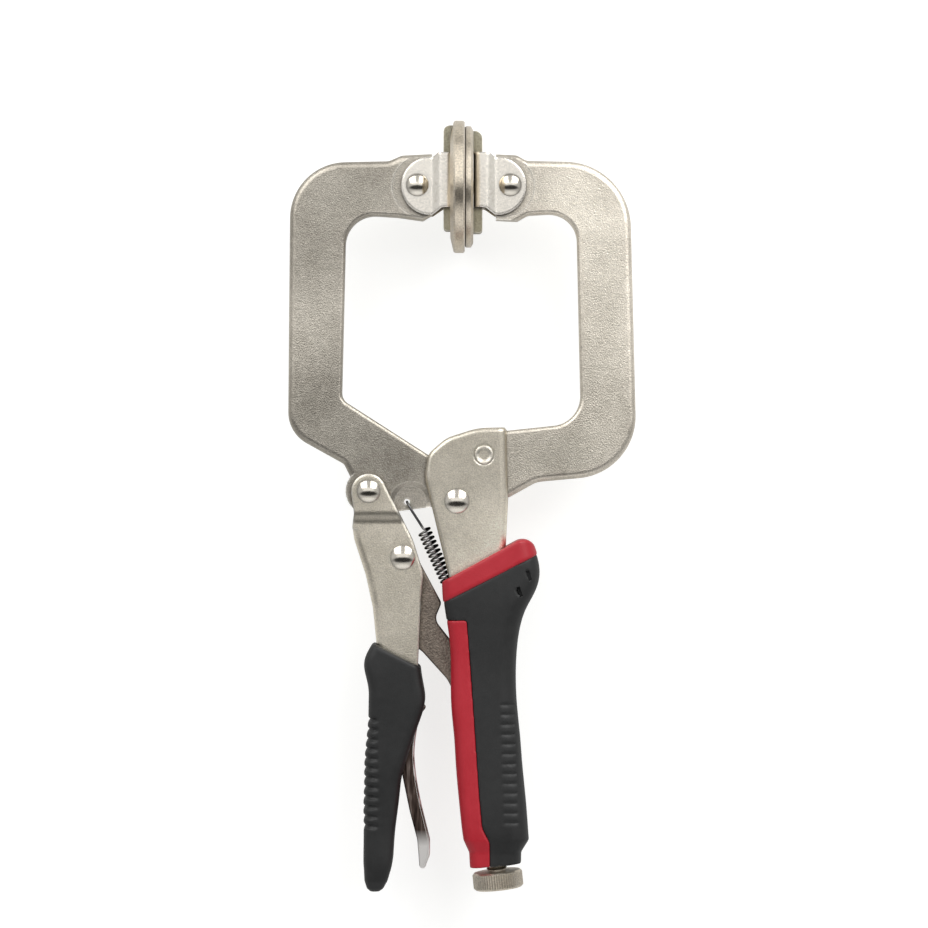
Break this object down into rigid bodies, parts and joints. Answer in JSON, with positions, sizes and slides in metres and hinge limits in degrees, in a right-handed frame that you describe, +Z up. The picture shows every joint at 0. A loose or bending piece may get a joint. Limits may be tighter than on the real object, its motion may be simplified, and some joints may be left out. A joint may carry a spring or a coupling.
{
  "type": "locking face clamp",
  "caption": "Locking C-shaped face clamp with swivelling round pads, toggle lever, release lever, return spring, knurled adjusting screw and cushioned handles.",
  "frame": {"origin": "middle of the footprint, on the surface that the pads' rims rest on; the clamp lies flat, closed and locked", "axes": "+X from the moving jaw across to the fixed jaw, +Y along the tool from the handles to the pads, +Z up through the thickness, parallel to the rivets"},
  "size_m": [0.1174, 0.2604, 0.0447],
  "materials": {
    "jaw_plate": "satin nickel plate over a fine grainy forging",
    "sheet_steel": "satin nickel-plated sheet steel",
    "pad_steel": "satin plated steel, lightly worn",
    "bright_rivet": "polished plated rivet",
    "knurled_steel": "plated, straight knurl",
    "forged_link": "rough dark forging",
    "dark_steel": "dark plated steel",
    "dark_chrome": "bright plated strip",
    "spring_wire": "oiled black spring wire",
    "black_rubber": "soft matte moulded sleeve",
    "red_rubber": "soft satin moulded sleeve"
  },
  "bodies": {
    "frame": {"fixed_jaw": "jaw_plate", "handle_channel": "sheet_steel", "jaw_fixing_pin": "sheet_steel", "jaw_pivot_rivet": "bright_rivet", "handle_end_nut": "dark_steel", "handle_collar": "red_rubber", "handle_stripe": "red_rubber", "handle_grip": "black_rubber", "spring": "spring_wire", "spring_anchor_pin": "dark_steel", "right_bracket_rivet": "bright_rivet"},
    "jaw": {"moving_jaw": "jaw_plate", "left_bracket_rivet": "bright_rivet"},
    "lever": {"lever_channel": "sheet_steel", "lever_rivet": "bright_rivet", "link_rivet": "bright_rivet", "lever_grip": "black_rubber", "release_lever_pin": "dark_steel"},
    "link": {"toggle_link": "forged_link"},
    "release": {"release_lever": "dark_chrome"},
    "screw": {"adjusting_screw": "knurled_steel"},
    "left_fork": {"left_pad_bracket": "sheet_steel", "left_pad_bar": "pad_steel", "left_pad_stud": "dark_steel"},
    "right_fork": {"right_pad_bracket": "sheet_steel", "right_pad_bar": "pad_steel", "right_pad_stud": "dark_steel"},
    "left_disc": {"left_pad": "pad_steel"},
    "right_disc": {"right_pad": "pad_steel"}
  },
  "joints": [
    {"name": "jaw_hinge", "type": "hinge", "parent": "frame", "child": "jaw", "pos_m": [-0.00169, 0.00159, 0.02235], "axis": [0, 0, 1], "range_deg": [0, 30], "deforming": ["spring"]},
    {"name": "lever_hinge", "type": "hinge", "parent": "jaw", "child": "lever", "pos_m": [-0.03148, 0.00498, 0.02235], "axis": [0, 0, 1], "range_deg": [-90, 0]},
    {"name": "link_hinge", "type": "hinge", "parent": "lever", "child": "link", "pos_m": [-0.01998, -0.01738, 0.02235], "axis": [0, 0, 1], "range_deg": [0, 85]},
    {"name": "release_hinge", "type": "hinge", "parent": "lever", "child": "release", "pos_m": [-0.01938, -0.07232, 0.02235], "axis": [0, 0, 1], "range_deg": [-7, 0]},
    {"name": "screw_turn", "type": "hinge", "parent": "frame", "child": "screw", "pos_m": [0.01123, -0.1174, 0.02235], "axis": [0.1028, -0.9947, 0], "continuous": true},
    {"name": "left_swivel", "type": "hinge", "parent": "jaw", "child": "left_fork", "pos_m": [-0.01503, 0.10819, 0.02235], "axis": [0, 0, 1], "range_deg": [-16, 0]},
    {"name": "right_swivel", "type": "hinge", "parent": "frame", "child": "right_fork", "pos_m": [0.01631, 0.10819, 0.02235], "axis": [0, 0, 1], "range_deg": [0, 16]},
    {"name": "left_spin", "type": "hinge", "parent": "left_fork", "child": "left_disc", "pos_m": [-0.00169, 0.10788, 0.02235], "axis": [1, 0, 0], "continuous": true},
    {"name": "right_spin", "type": "hinge", "parent": "right_fork", "child": "right_disc", "pos_m": [0.00331, 0.10788, 0.02235], "axis": [1, 0, 0], "continuous": true}
  ],
  "couplings": [
    {"joint": "lever_hinge", "follows": "jaw_hinge", "ratio": -2.955},
    {"joint": "link_hinge", "follows": "jaw_hinge", "ratio": 2.773},
    {"joint": "left_swivel", "follows": "jaw_hinge", "ratio": -0.5},
    {"joint": "right_swivel", "follows": "jaw_hinge", "ratio": 0.5}
  ]
}
